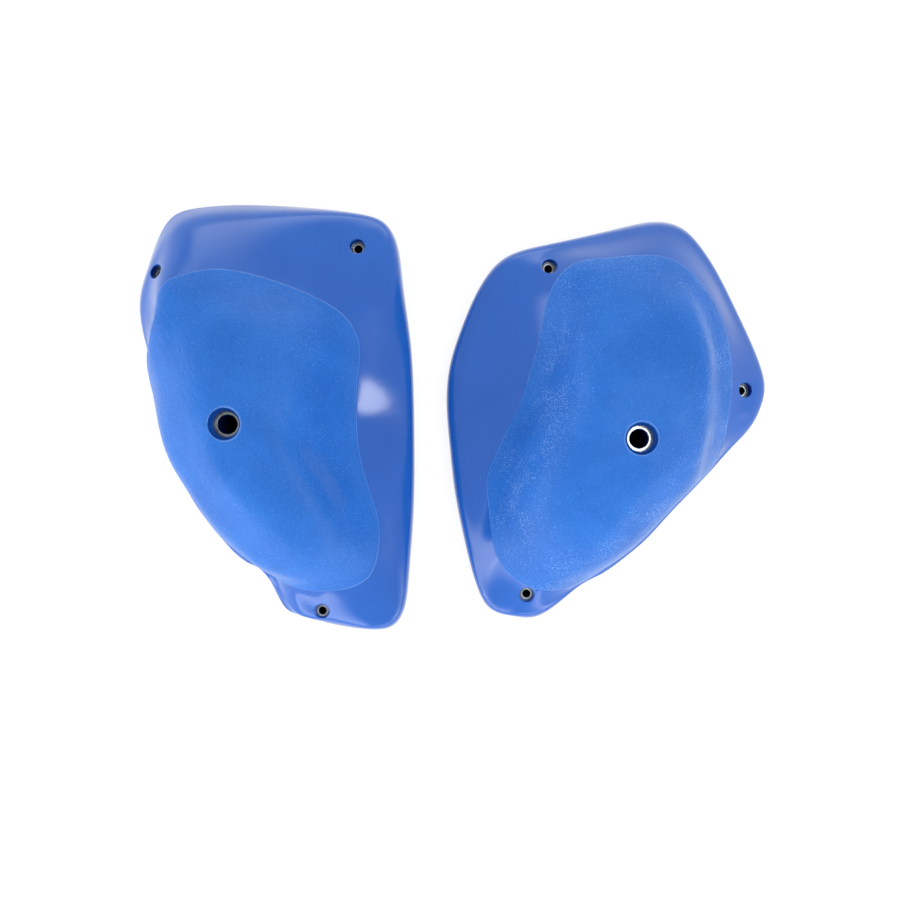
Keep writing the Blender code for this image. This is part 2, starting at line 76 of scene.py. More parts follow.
AXES = {}
SCREWS = {}
for side in ("left", "right"):
    centre = middle(side + "_bolt_washer")
    AXES[side] = Vector((centre.x, centre.y, 0))
    SCREWS[side] = screw_places(side, AXES[side])
    print(side, "axis", [round(v, 4) for v in AXES[side].xy], "screws", ", ".join(SCREWS[side]))

# %% [markdown]
# ## The form of a hold
# A climbing hold is carved by eye, so no formula gives its shape. It can be described by closed
# sections round the bolt axis, much as a boat is by its lines: the rim on the wall face, the brow of
# the skirt, the edge of the sanded grip, then the flank, the shoulder and the crest. Sculpting would be
# another way, but sections keep the form editable, and nearly the same ones made the CAD solid: only
# the left hold's ramp is refined here, by up to a millimetre and a half. Points are millimetres from the
# axis and over the wall. The mouth's numbers are its height and its slopes along x and y, and the free
# ribs' are the angles of the two ribs that lead to no screw.

# %% The sections
SECTIONS = ("rim", "skirt", "grip", "flank", "shoulder", "crest")
LEFT_FORM = {
    "rim": [
        (120, 1, 0), (117, 62, 0), (111.5, 105, 0), (106, 131, 0), (98, 141, 0), (84, 146, 0),
        (55, 149.8, 0), (10, 152.4, 0), (-31.5, 150.2, 0), (-47.3, 144.3, 0), (-57, 129.8, 0),
        (-63.8, 110.7, 0), (-69.8, 84, 0), (-66, 61, 0), (-60.3, 40, 0), (-55.2, 2, 0),
        (-45.5, -27, 0), (-30, -56, 0), (-8, -83.5, 0), (6, -95, 0), (17.5, -103, 0),
        (23, -112, 0), (28.5, -122.5, 0), (37, -129.5, 0), (54, -134.5, 0), (88, -140.5, 0),
        (103, -139, 0), (111.5, -130, 0), (116, -108, 0), (119.5, -60, 0),
    ],
    "skirt": [
        (118, 1, 11.3), (117.2, 32.1, 12), (115, 62, 12.5), (112.1, 83.4, 16.4), (109, 104, 18.9),
        (102.5, 128, 17), (95, 136.5, 15.5), (82, 140, 15), (54, 141, 21), (8, 139.2, 27),
        (-27.5, 136.3, 28), (-41, 130, 27), (-49.2, 118.2, 26), (-56, 103.6, 25), (-63, 81, 21),
        (-62.3, 61, 17), (-58.8, 39, 9), (-54.2, 2, 4.5), (-44.7, -26.7, 4.2),
        (-29.2, -55.4, 4.2), (-7.4, -82.8, 4.2), (7, -93.8, 5), (19.5, -101.5, 8),
        (27, -109.5, 9.5), (34.5, -121, 10.5), (55, -128, 13), (86, -135, 12.5), (100, -133, 12),
        (108, -125, 12.5), (113.5, -105, 13.4), (117.5, -60, 13.7), (118.1, -30, 11.9),
    ],
    "grip": [
        (82, 4, 26.5), (84, -18, 28.1), (90, -41, 29), (97, -67, 27.2), (96, -87, 27),
        (89, -103, 26), (75, -110, 26), (57, -112, 26), (34, -107, 24), (16.5, -97, 15),
        (-6.4, -81.8, 9), (-28, -54.6, 9), (-43.7, -26.2, 9), (-53.2, 2, 10), (-57.5, 26, 17),
        (-57.2, 50, 37), (-51, 66, 50), (-44, 92, 55), (-33, 98, 55), (-16, 102, 54),
        (6, 101, 52), (32, 94, 48), (57, 84, 42), (76, 71, 38), (84, 54, 31.7), (83, 32, 30),
    ],
    "flank": [
        (65, 4, 43), (72, -38, 43), (81, -67, 42), (75, -90, 43), (50, -101, 44), (21, -95.5, 43),
        (0, -80, 42), (-22.5, -53, 42), (-39.3, -26.7, 43), (-48.4, 1.5, 44), (-52.5, 33, 47),
        (-44, 76, 62), (-14, 88, 62), (30, 78, 60), (60, 60, 51), (66, 34, 45),
    ],
    "shoulder": [
        (45, 4, 73), (55, -33, 71), (64, -64, 66), (54, -83, 62), (28, -82, 63), (-1, -60, 62),
        (-22, -32, 62), (-38, 2, 62), (-42, 34, 64), (-32, 62, 69), (-8, 68, 73), (26, 60, 75),
        (46, 38, 71),
    ],
    "crest": [
        (30, 3, 84), (38, -27, 82.5), (30, -50, 79), (4, -44, 77), (-19, -12, 76), (-23, 22, 77),
        (-10, 40, 80), (16, 38, 83),
    ],
    "mouth": (83.0, 0.08, 0.02),
    "free_ribs": (2, 205),
}
RIGHT_FORM = {
    "rim": [
        (94, 34.1, 0), (90.8, 50.6, 0), (69.7, 98.2, 0), (50, 133, 0), (40.1, 143.8, 0),
        (25.2, 149.9, 0), (-0.5, 147.2, 0), (-59.5, 133.8, 0), (-86.5, 124.4, 0),
        (-100.5, 108.6, 0), (-114.5, 78.6, 0), (-123.5, 49.6, 0), (-125.5, 23.6, 0),
        (-123.5, -3.4, 0), (-119.5, -38.4, 0), (-112.5, -72.4, 0), (-104.5, -101.4, 0),
        (-94.5, -117.4, 0), (-77.5, -122.4, 0), (-59.5, -120.9, 0), (-38, -104.6, 0),
        (-19.5, -93.6, 0), (-4.9, -83.6, 0), (7.1, -73.9, 0), (22.6, -58.1, 0), (41.1, -38.4, 0),
        (59.1, -19.3, 0), (74.5, -2.4, 0), (84.9, 9.6, 0), (90, 19.4, 0),
    ],
    "skirt": [
        (87.5, 33.2, 17), (84.5, 49.1, 18), (64.5, 94.1, 18), (45.5, 126.6, 17),
        (36.5, 135.8, 17), (24, 140.4, 19), (-0.5, 138.2, 19), (-57.5, 127.6, 15),
        (-82.5, 119.1, 12), (-97, 105.6, 11), (-111.5, 77.6, 10.5), (-121, 48.6, 11),
        (-123, 23.6, 11.5), (-121, -3.4, 11.5), (-116.5, -37.4, 12), (-109.5, -70.4, 10.5),
        (-101, -98.9, 10), (-91.5, -112.9, 10.5), (-77.5, -117.4, 10.5), (-59.8, -115.4, 9),
        (-38.7, -103, 5.5), (-20.1, -92.5, 3.8), (-5.5, -82.7, 3.8), (6.5, -73.1, 3.8),
        (21.9, -57.4, 3.8), (40.3, -37.7, 4), (57.9, -19, 5.5), (71.7, -1.6, 11), (80.7, 10, 15),
        (85, 19.2, 16),
    ],
    "grip": [
        (65.5, 39.6, 37), (62.5, 65.6, 38), (54.5, 87.6, 39), (40.5, 107.6, 41),
        (24.5, 119.2, 42), (2.5, 122.2, 42), (-21.5, 120.3, 40), (-41.5, 116.6, 37),
        (-52.5, 105.6, 35), (-59.5, 88.6, 33), (-63.5, 67.6, 31.5), (-68.5, 49.6, 30.5),
        (-75.5, 26.6, 29), (-85.5, 4.6, 26), (-93.5, -12.4, 23), (-98.5, -27.4, 21),
        (-97.5, -42.4, 21), (-95.5, -60.4, 22.5), (-90.5, -81.4, 22.5), (-78.5, -95.4, 21),
        (-57.5, -102.7, 20), (-39.7, -100.8, 12), (-20.8, -91.2, 8), (-6.4, -81.5, 8),
        (5.5, -72, 8), (20.9, -56.4, 8), (39.3, -36.8, 8.5), (54.5, -21.2, 11.5), (61, -8.9, 18),
        (63.5, 7.6, 28),
    ],
    "flank": [
        (52, 39.6, 54), (49, 65.6, 54), (41.5, 87.6, 53), (30.5, 102.6, 52), (2.5, 109.6, 52),
        (-30.5, 103.6, 50), (-49.5, 67.6, 45), (-60.5, 26.6, 43), (-76.5, -12.4, 41),
        (-81.5, -42.4, 39), (-74.5, -74.4, 37), (-48.5, -90.9, 36), (-24.5, -85.7, 36),
        (-0.2, -70.3, 37), (16.7, -54.7, 38), (28.7, -41.8, 40), (39.8, -29, 43),
        (46.7, -8.8, 47), (51, 11.6, 50),
    ],
    "shoulder": [
        (45.5, 39.6, 70), (40.5, 69.6, 69), (28.5, 85.6, 67), (1.5, 90.6, 64), (-26.5, 84.6, 61),
        (-41.5, 47.6, 64), (-52.5, 7.6, 64), (-64.5, -32.4, 60), (-57.5, -62.4, 57),
        (-26.5, -68.4, 59), (-2.5, -54.4, 61), (17.5, -36.4, 63), (33.5, -17.4, 66),
        (42.5, 9.6, 69),
    ],
    "crest": [
        (26.5, 27.6, 80), (9.5, 47.6, 79), (-16.5, 41.6, 78.5), (-31.5, 5.6, 78),
        (-35.5, -28.4, 74), (-12.5, -36.4, 74), (9.5, -22.4, 76), (23.5, 1.6, 78.5),
    ],
    "mouth": (80.0, 0.02, 0.02),
    "free_ribs": (172, 306),
}
# The spans of the rim's points and the height of the highest one, in metres, as in the CAD.
SPANS = {"left": (0.1898, 0.2929, 0.0840), "right": (0.2195, 0.2723, 0.0800)}


def fitted(form, spans):
    """The sections in metres, stretched to the casting's own spans."""
    rim = np.array(form["rim"], float)
    top = max(point[2] for name in SECTIONS for point in form[name])
    scale = (spans[0] / np.ptp(rim[:, 0]), spans[1] / np.ptp(rim[:, 1]), spans[2] / top)
    hold = {name: np.array(form[name], float) * scale for name in SECTIONS}
    level, slope_x, slope_y = form["mouth"]
    hold["mouth"] = (level * scale[2], slope_x, slope_y)
    hold["free_ribs"] = form["free_ribs"]
    return hold


HOLDS = {"left": fitted(LEFT_FORM, SPANS["left"]), "right": fitted(RIGHT_FORM, SPANS["right"])}
for side, hold in HOLDS.items():
    print(side, "mouth at", round(hold["mouth"][0] * 1000, 1), "mm")

# %% [markdown]
# ## From points to curves
# A section is a closed curve, given as radius and height over the angle round the axis. A cubic spline
# through its points has no kinks in slope or in bend, and bend is what a glossy surface shows most: a
# jump in it would be seen as a break in the highlights.

# %% Closed curves through a section's points
def cubic(span, along, start, end, start_bend, end_bend):
    """A cubic between two knots, from its values and second derivatives at both."""
    rest = span - along
    curved = (start_bend * rest**3 + end_bend * along**3) / (6 * span)
    return (curved + (start / span - start_bend * span / 6) * rest
            + (end / span - end_bend * span / 6) * along)


def closed_curve(knots, values, at):
    """A smooth closed curve through values at the knot angles, read at other angles."""
    count = len(knots)
    span = np.diff(np.append(knots, knots[0] + math.tau))
    slope = (np.roll(values, -1) - values) / span
    system = np.zeros((count, count))
    for i in range(count):
        system[i, i - 1] += span[i - 1]
        system[i, i] += 2 * (span[i - 1] + span[i])
        system[i, (i + 1) % count] += span[i]
    bend = np.linalg.solve(system, 6 * (slope - np.roll(slope, 1)))
    turned = (at - knots[0]) % math.tau + knots[0]
    i = np.clip(np.searchsorted(knots, turned, side="right") - 1, 0, count - 1)
    j = (i + 1) % count
    return cubic(span[i], turned - knots[i], values[i], values[j], bend[i], bend[j])


def section_at(points, angles):
    """Radius and height of a closed section at each angle round the bolt axis."""
    turn = np.arctan2(points[:, 1], points[:, 0]) % math.tau
    order = np.argsort(turn)
    turn, points = turn[order], points[order]
    radius = closed_curve(turn, np.hypot(points[:, 0], points[:, 1]), angles)
    return radius, closed_curve(turn, points[:, 2], angles)


# %% [markdown]
# ## The loft
# At each angle a second spline, free at both ends, runs up through the sections to the mouth of the
# bolt's recess. Its knots are spaced by the distance between sections to the power 0.75, which keeps it
# from swinging out where two sections lie close together. Between the rim and the brow of the skirt a
# foot is worked out from the two, which makes the skirt's lowest part steep. The splines are solved for
# all the angles at once with numpy, so that a skin of ninety thousand points takes a moment.

# %% The loft through the sections
MOUTH_RADIUS = 0.01025
MOUTH_ROUNDING = 0.0008
KNOT_POWER = 0.75
FOOT_IN = 0.22
FOOT_SPREAD = 28.0
FOOT_UP = 0.74


def free_bends(knots, values):
    """Second derivatives of a free-ended spline through each row of values."""
    rows, count = knots.shape
    span = np.diff(knots, axis=1)
    slope = np.diff(values, axis=1) / span
    system = np.zeros((rows, count, count))
    right = np.zeros((rows, count, 1))
    system[:, 0, 0] = system[:, -1, -1] = 1
    for i in range(1, count - 1):
        system[:, i, i - 1] = span[:, i - 1]
        system[:, i, i] = 2 * (span[:, i - 1] + span[:, i])
        system[:, i, i + 1] = span[:, i]
        right[:, i, 0] = 6 * (slope[:, i] - slope[:, i - 1])
    return np.linalg.solve(system, right)[:, :, 0]


def loft(hold, angles, shares):
    """Rings at the given (section number, share of the way to the next), from rim to mouth."""
    radii, heights = np.stack([section_at(hold[name], angles) for name in SECTIONS], 2)
    inward = radii[:, 0] - radii[:, 1]
    radii = np.insert(radii, 1, radii[:, 0] - inward * (FOOT_IN + FOOT_SPREAD * inward), axis=1)
    heights = np.insert(heights, 1, FOOT_UP * heights[:, 1], axis=1)
    edge = MOUTH_RADIUS + MOUTH_ROUNDING
    level, slope_x, slope_y = hold["mouth"]
    last = level + edge * (slope_x * np.cos(angles) + slope_y * np.sin(angles))
    radii = np.column_stack([radii, np.full_like(angles, edge)])
    heights = np.column_stack([heights, last])
    step = np.hypot(np.diff(radii, axis=1), np.diff(heights, axis=1)) ** KNOT_POWER
    knots = np.column_stack([np.zeros(len(angles)), np.cumsum(step, axis=1)])
    out, up = free_bends(knots, radii), free_bends(knots, heights)
    rings = []
    for k, share in shares:
        span, j = step[:, k], k + 1
        r = cubic(span, span * share, radii[:, k], radii[:, j], out[:, k], out[:, j])
        z = cubic(span, span * share, heights[:, k], heights[:, j], up[:, k], up[:, j])
        rings.append(ring(r, z, angles))
    return np.array(rings)


def ring(radius, height, angles):
    """Points round the bolt axis."""
    height = np.broadcast_to(height, angles.shape)
    return np.stack([radius * np.cos(angles), radius * np.sin(angles), height], 1)


def even_shares(rows):
    """Evenly spaced shares, with a number of rows for each span between sections."""
    return [(k, part / count) for k, count in enumerate(rows) for part in range(count)]


# %% [markdown]
# ## How finely the skin is cut
# A grid round an axis is crowded at the middle and sparse at the rim, so it gets many columns and fewer
# rows. The columns also lie closer where the rim runs fast, at its corners. A few more rows lie at the
# edge of the sanded grip, where the real casting has a small step, and at the rim, where its arris is
# broken.

# %% Angles and rows of the skin
COLUMNS = 560
ROWS = (8, 10, 18, 34, 34, 24, 14)
RIM_SHARES = [(0, 0.03), (0, 0.06)]
EDGE_SHARES = [(2, 0.985), (2, 0.993), (3, 0.006), (3, 0.012), (3, 0.02)]


def spread_angles(hold, count):
    """Angles that lie closer together where the rim runs fast, so that its corners stay round."""
    fine = np.linspace(0, math.tau, 2 * COLUMNS + 1)
    radius, _ = section_at(hold["rim"], fine)
    run = np.hypot(np.diff(radius * np.cos(fine)), np.diff(radius * np.sin(fine)))
    weight = np.append(0, np.cumsum(run + run.mean()))
    return np.interp(np.arange(count) * weight[-1] / count, weight, fine)


SHARES = sorted(even_shares(ROWS) + RIM_SHARES + EDGE_SHARES)
print(len(SHARES), "rows of", COLUMNS, "columns")

# %% [markdown]
# ## The sanded pad stands proud
# On a two-texture hold the grip is masked while the skirt is polished, which leaves the grip about a
# third of a millimetre proud, with a soft shoulder at its edge. The CAD's surface is kept as the limit:
# the whole skin sinks by the height of the grain, and the skirt by the step as well, along its normals.

# %% Normals of a ring grid, and the pad's step
PAD_STEP = 0.00035
PAD_SHOULDER = 0.0007
GRAIN_HEIGHT = 0.00015
GRIP_EDGE = (3, 0.0)


def grid_normals(rings):
    """Unit normals of a stack of rings, pointing away from the axis."""
    around = np.roll(rings, -1, 1) - np.roll(rings, 1, 1)
    normals = np.cross(around, np.gradient(rings, axis=0))
    return normals / np.linalg.norm(normals, axis=2, keepdims=True)


def raise_pad(rings, shares):
    """The rings with the sanded zone proud of the skirt, and how sanded each row is."""
    normals = grid_normals(rings)
    edge = shares.index(GRIP_EDGE)
    run = np.linalg.norm(np.diff(rings, axis=0), axis=2)
    past = np.zeros(rings.shape[:2])
    past[edge + 1:] = np.cumsum(run[edge:], axis=0)
    rise = np.clip(past / PAD_SHOULDER, 0, 1)
    rise = rise * rise * (3 - 2 * rise)
    inset = PAD_STEP * (rise - 1) - GRAIN_HEIGHT
    return rings + normals * inset[..., None], np.clip(past / PAD_SHOULDER - 1, 0, 1)


# %% [markdown]
# ## Closing the casting
# From the mouth the surface goes on down the recess, over the ledge where it narrows, round the groove
# that holds the washer's flange, and through the passage to the wall face, which joins back to the rim.
# One closed skin like this can be cut by Booleans without trouble.

# %% The bolt's recess and the closed skin
BOLT = {"seat": 0.0030, "step": 0.0006, "lip": 0.0087, "flange": 0.0102, "passage": 0.0064}
COUNTERBORE = {"depth": 0.0100, "bevel": 0.0009, "shares": (0.3, 0.65, 1.0)}
AIR = 0.0003
QUARTER = [math.radians(turn) for turn in (22, 45, 67, 90)]


def recess_rings(side, mouth, angles):
    """Rings from the mouth's rounding down to the wall face."""
    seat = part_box(side + "_bolt_washer")[1].z
    lip = seat - BOLT["step"] + AIR
    under = seat - BOLT["seat"] - AIR
    rings = []
    for turn in QUARTER:
        radius = MOUTH_RADIUS + MOUTH_ROUNDING * (1 - math.sin(turn))
        rings.append(ring(radius, mouth[:, 2] - MOUTH_ROUNDING * (1 - math.cos(turn)), angles))
    ledge = seat + COUNTERBORE["depth"]
    wall = rings[-1][:, 2]
    for share in COUNTERBORE["shares"]:
        radius = MOUTH_RADIUS + (BOLT["lip"] + COUNTERBORE["bevel"] - MOUTH_RADIUS) * share
        rings.append(ring(radius, wall * (1 - share) + ledge * share, angles))
    groove = BOLT["flange"] + AIR
    below = ((BOLT["lip"], ledge - COUNTERBORE["bevel"]), (BOLT["lip"], lip), (groove, lip),
             (groove, under), (BOLT["passage"], under), (BOLT["passage"], 0.0))
    return np.array(rings + [ring(radius, height, angles) for radius, height in below])


def ring_faces(rings, count):
    """Quads between the rings of a stack, facing out when the stack runs upwards."""
    k, i = np.meshgrid(np.arange(rings - 1), np.arange(count), indexing="ij")
    j = (i + 1) % count
    low, high = k * count, (k + 1) * count
    return np.stack([low + i, low + j, high + j, high + i], 2).reshape(-1, 4)


def closing_faces(rings, count):
    """Quads that join the last ring of a stack back to its first."""
    i = np.arange(count)
    j = (i + 1) % count
    last = (rings - 1) * count
    return np.stack([last + i, last + j, j, i], 1)


# %% [markdown]
# ## A few helpers for all node trees
# Geometry and material trees are both built in code. Adding a node always means the same three things:
# make it, set its own options, and fill its sockets with a value or a link. The nodes that come up most,
# such as Math, Mix and Noise, get a short name of their own.

# %% Adding a node, and colours
def add_node(tree, kind, settings=None, sockets=None):
    """Add a node, set its options, and give its inputs a value or another node's output."""
    node = tree.nodes.new(kind)
    for name, value in (settings or {}).items():
        setattr(node, name, value)
    for socket, value in (sockets or {}).items():
        if isinstance(value, bpy.types.NodeSocket):
            tree.links.new(value, node.inputs[socket])
        else:
            node.inputs[socket].default_value = value
    return node


def linear(code):
    """An sRGB hex colour as linear RGBA."""
    parts = [int(code[i:i + 2], 16) / 255 for i in (1, 3, 5)]
    return (*[c / 12.92 if c <= 0.04045 else ((c + 0.055) / 1.055) ** 2.4 for c in parts], 1)


def operate(tree, operation, *inputs):
    """The result of a Math node on its inputs."""
    sockets = dict(enumerate(inputs))
    return add_node(tree, "ShaderNodeMath", {"operation": operation}, sockets).outputs[0]


def mix(tree, factor, first, second, blend="MIX"):
    """Two colours mixed."""
    return add_node(tree, "ShaderNodeMix", {"data_type": "RGBA", "blend_type": blend},
                    {0: factor, 6: first, 7: second}).outputs[2]


def noise(tree, place, size, detail=2.0, rough=0.5):
    """A noise whose lumps are about the given size in metres."""
    sockets = {"Vector": place, "Scale": 1 / size, "Detail": detail, "Roughness": rough}
    return add_node(tree, "ShaderNodeTexNoise", None, sockets).outputs["Fac"]


def ramp(tree, factor, stops):
    """A colour ramp with the given (position, hex colour or grey value) stops."""
    node = add_node(tree, "ShaderNodeValToRGB", None, {"Fac": factor})
    while len(node.color_ramp.elements) < len(stops):
        node.color_ramp.elements.new(0.5)
    for element, (place, value) in zip(node.color_ramp.elements, stops):
        element.position = place
        element.color = linear(value) if isinstance(value, str) else (value, value, value, 1)
    return node.outputs["Color"]


def split(tree, vector):
    """The X, Y and Z outputs of a vector."""
    return add_node(tree, "ShaderNodeSeparateXYZ", None, {0: vector}).outputs


def stored(tree, name):
    """An attribute that a piece carries, as a number."""
    return add_node(tree, "ShaderNodeAttribute", {"attribute_name": name}).outputs["Fac"]


# %% [markdown]
# ## Polished polyurethane
# The skirt keeps the mould's own polish. Cast polyurethane is a dense plastic with an index of about
# 1.5, pigmented right through, so the colour is even and the shine is all in the clear surface. The eye
# gets a deep blue with soft wide reflections that turn pale at grazing angles. A faint orange peel, a
# few millimetres across, and a slow change of gloss keep those reflections from being perfect.

# %% The material of the skirt
def new_material(name):
    """A new node material: itself, its tree, its Principled shader and its Object coordinates."""
    material = bpy.data.materials.new(name)
    material.use_nodes = True
    tree = material.node_tree
    place = add_node(tree, "ShaderNodeTexCoord").outputs["Object"]
    return material, tree, tree.nodes["Principled BSDF"], place


def relief(tree, shader, height, strength, depth):
    """Bump a shader by a height of the given depth in metres."""
    bump = add_node(tree, "ShaderNodeBump", None,
                    {"Strength": strength, "Distance": depth, "Height": height})
    tree.links.new(bump.outputs["Normal"], shader.inputs["Normal"])


polished, tree, shader, place = new_material("polished_polyurethane")
shader.inputs["IOR"].default_value = 1.5
colour = ramp(tree, noise(tree, place, 0.045), ((0.35, "#1B58B2"), (0.65, "#1D5DB8")))
tree.links.new(colour, shader.inputs["Base Color"])
gloss = ramp(tree, noise(tree, place, 0.012, 3.0), ((0.3, 0.13), (0.7, 0.19)))
tree.links.new(gloss, shader.inputs["Roughness"])
relief(tree, shader, noise(tree, place, 0.0035, 1.0), 0.25, 0.0001)
print("made", polished.name)

# %% [markdown]
# ## Sanded polyurethane
# The crown takes the print of a sanded master: grains about half a millimetre across, which scatter the
# light and kill the mirror image. The colour is a touch lighter there, with darker specks of painted
# shade for the pits. Slopes carry painted glints, fine pale specks in loose patches where a grain's flat
# would catch the light, more of them on the right hold, and the steepest parts get a paler painted sheen.
# The pad's very edge gets a thin painted highlight, where the sanding stops at a small step.

# %% The material of the grip
sanded, tree, shader, place = new_material("sanded_polyurethane")
shader.inputs["IOR"].default_value = 1.5
grain = noise(tree, place, 0.0008, 2.0, 0.6)
base = ramp(tree, noise(tree, place, 0.03), ((0.35, "#2366BE"), (0.65, "#286DC6")))
# Painted shade: darker specks in the grain's pits, multiplied into the colour.
pit_shade = ramp(tree, grain, ((0.36, "#9FB4D0"), (0.5, "#FFFFFF")))
colour = mix(tree, 0.3, base, pit_shade, "MULTIPLY")
level = split(tree, add_node(tree, "ShaderNodeNewGeometry").outputs["Normal"])["Z"]
# Painted glints: fine pale specks on slopes, in loose patches, more of them on the right hold.
slope = ramp(tree, level, ((0.6, 0.12), (0.97, 0.0)))
glint_by_hold = ramp(tree, split(tree, place)["X"], ((0.0, 0.4), (0.02, 1.15)))
patches = ramp(tree, noise(tree, place, 0.018, 3.0), ((0.4, 0.3), (0.6, 1.0)))
glint = operate(tree, "MULTIPLY_ADD", slope, operate(tree, "MULTIPLY", patches, glint_by_hold), grain)
glint_specks = ramp(tree, glint, ((0.645, 0.0), (0.8, 0.75)))
colour = mix(tree, glint_specks, colour, linear("#86ABE2"))
# Painted sheen: the steepest parts are mixed towards a pale blue.
steep_sheen = ramp(tree, level, ((0.25, 0.15), (0.5, 0.0)))
colour = mix(tree, steep_sheen, colour, linear("#9DB2D6"))
# Painted highlight: a thin pale line along the pad's edge, where the sanding stops at a small step.
edge = ramp(tree, stored(tree, "sanded"), ((0.0, 0.5), (0.6, 0.0)))
colour = mix(tree, edge, colour, linear("#7FA9E8"))
tree.links.new(colour, shader.inputs["Base Color"])
shader.inputs["Roughness"].default_value = 0.38
shader.inputs["Specular IOR Level"].default_value = 0.2
shader.inputs["Sheen Weight"].default_value = 0.05
shader.inputs["Sheen Roughness"].default_value = 0.4
relief(tree, shader, noise(tree, place, 0.0006, 1.0), 0.6, 0.00025)
print("made", sanded.name)

# %% [markdown]
# ## The back of the casting
# The wall face is the open side of the mould. The hollow is shaped by a silicone plug, and the rim is
# levelled on a belt sander once the resin has set, so the back is duller and carries fine straight
# scratches, made by a noise that is stretched along one axis.

# %% The material of the back
back, tree, shader, place = new_material("levelled_polyurethane")
shader.inputs["IOR"].default_value = 1.5
stretch = add_node(tree, "ShaderNodeMapping", None, {"Vector": place, "Scale": (1, 0.05, 1)}).outputs[0]
scratch = noise(tree, stretch, 0.0009, 2.0)
colour = ramp(tree, noise(tree, place, 0.02), ((0.3, "#2A6FCB"), (0.7, "#3079D3")))
tree.links.new(colour, shader.inputs["Base Color"])
tree.links.new(ramp(tree, scratch, ((0.3, 0.45), (0.7, 0.62))), shader.inputs["Roughness"])
relief(tree, shader, scratch, 0.3, 0.0001)
print("made", back.name)

# %% [markdown]
# ## Zinc-plated steel
# The washers are turned steel with a thin bright zinc plating: metallic, fairly smooth, with rings left
# by the lathe. The rings follow the radius, so each washer stores its own radius as an attribute, and
# the pattern reads that. A second attribute paints shade: the right hold's bolt washer keeps its bright
# plating, and the others are painted towards a dull blue-grey, standing for the shade and dark
# reflections deep in their recesses.

# %% The material of the washers
steel, tree, shader, place = new_material("zinc_plated_steel")
shader.inputs["Metallic"].default_value = 1.0
marks = add_node(tree, "ShaderNodeTexNoise", {"noise_dimensions": "1D"},
                 {"W": stored(tree, "turned_radius"), "Scale": 5000.0}).outputs["Fac"]
stain = noise(tree, place, 0.004, 3.0)
bright = ramp(tree, stain, ((0.35, "#AEB6BC"), (0.65, "#D2D8DC")))
# Painted shade and dark reflection: a dull blue-grey for washers deep in their recesses.
shaded_plating = ramp(tree, stain, ((0.35, "#536069"), (0.65, "#7A8890")))
plating = mix(tree, stored(tree, "painted_shade"), bright, shaded_plating)
tree.links.new(plating, shader.inputs["Base Color"])
tree.links.new(ramp(tree, marks, ((0.3, 0.2), (0.7, 0.34))), shader.inputs["Roughness"])
relief(tree, shader, marks, 0.15, 0.00005)
print("made", steel.name)

# %% [markdown]
# ## Real grain on the grip
# Bump alone would leave the silhouette and the mesh itself smooth, so the larger grains are real. They
# follow a rule, a noise along the normal wherever the skin is sanded, and that is a job for Geometry
# Nodes: the tree can be tuned by its named inputs without touching the mesh. The mask is an attribute
# that fades in past the pad's shoulder. The noise swings by about a quarter to each side of its middle,
# so four times that reaches the grain's full height.

# %% The grain's node tree
GRAIN_SIZE = 0.0018
GRAIN_SEED = 3.0
NOISE_SWING = 0.25


def named_inputs(tree, entries):
    """Give a tree its geometry socket and its named inputs, and return the input node."""
    tree.interface.new_socket("Geometry", in_out="INPUT", socket_type="NodeSocketGeometry")
    for name, kind, value in entries:
        tree.interface.new_socket(name, in_out="INPUT", socket_type=kind).default_value = value
    tree.interface.new_socket("Geometry", in_out="OUTPUT", socket_type="NodeSocketGeometry")
    return tree.nodes.new("NodeGroupInput").outputs


grain_tree = bpy.data.node_groups.new("sanded_grain", "GeometryNodeTree")
given = named_inputs(grain_tree, (("Grain size", "NodeSocketFloat", GRAIN_SIZE),
                                  ("Grain height", "NodeSocketFloat", GRAIN_HEIGHT),
                                  ("Seed", "NodeSocketFloat", GRAIN_SEED)))
mask = add_node(grain_tree, "GeometryNodeInputNamedAttribute", {"data_type": "FLOAT"},
                {"Name": "sanded"}).outputs["Attribute"]
here = add_node(grain_tree, "GeometryNodeInputPosition").outputs[0]
lumps = add_node(grain_tree, "ShaderNodeTexNoise", {"noise_dimensions": "4D"},
                 {"Vector": here, "W": given["Seed"], "Detail": 2.0,
                  "Scale": operate(grain_tree, "DIVIDE", 1.0, given["Grain size"])})
centred = operate(grain_tree, "SUBTRACT", lumps.outputs[0], 0.5)
tall = operate(grain_tree, "MULTIPLY", centred, given["Grain height"])
masked = operate(grain_tree, "MULTIPLY", tall, mask)
full = operate(grain_tree, "DIVIDE", masked, NOISE_SWING)
normal = add_node(grain_tree, "GeometryNodeInputNormal").outputs[0]
offset = add_node(grain_tree, "ShaderNodeVectorMath", {"operation": "SCALE"}, {0: normal, "Scale": full})
moved = add_node(grain_tree, "GeometryNodeSetPosition", None,
                 {"Geometry": given["Geometry"], "Offset": offset.outputs[0]})
real = add_node(grain_tree, "GeometryNodeRealizeInstances", None, {0: moved.outputs[0]})
rough = add_node(grain_tree, "FunctionNodeCompare", {"data_type": "FLOAT", "operation": "GREATER_THAN"},
                 {0: mask, 1: 0.02})
painted = add_node(grain_tree, "GeometryNodeSetMaterial", None,
                   {"Geometry": real.outputs[0], "Selection": rough.outputs[0], "Material": sanded})
add_node(grain_tree, "NodeGroupOutput", None, {0: painted.outputs[0]})
print("grain tree has", len(grain_tree.nodes), "nodes")

# %% [markdown]
# ## Running a tree and keeping its result
# A modifier's inputs are reached by their sockets' identifiers. The evaluated result is copied into a
# plain mesh and the modifier goes.

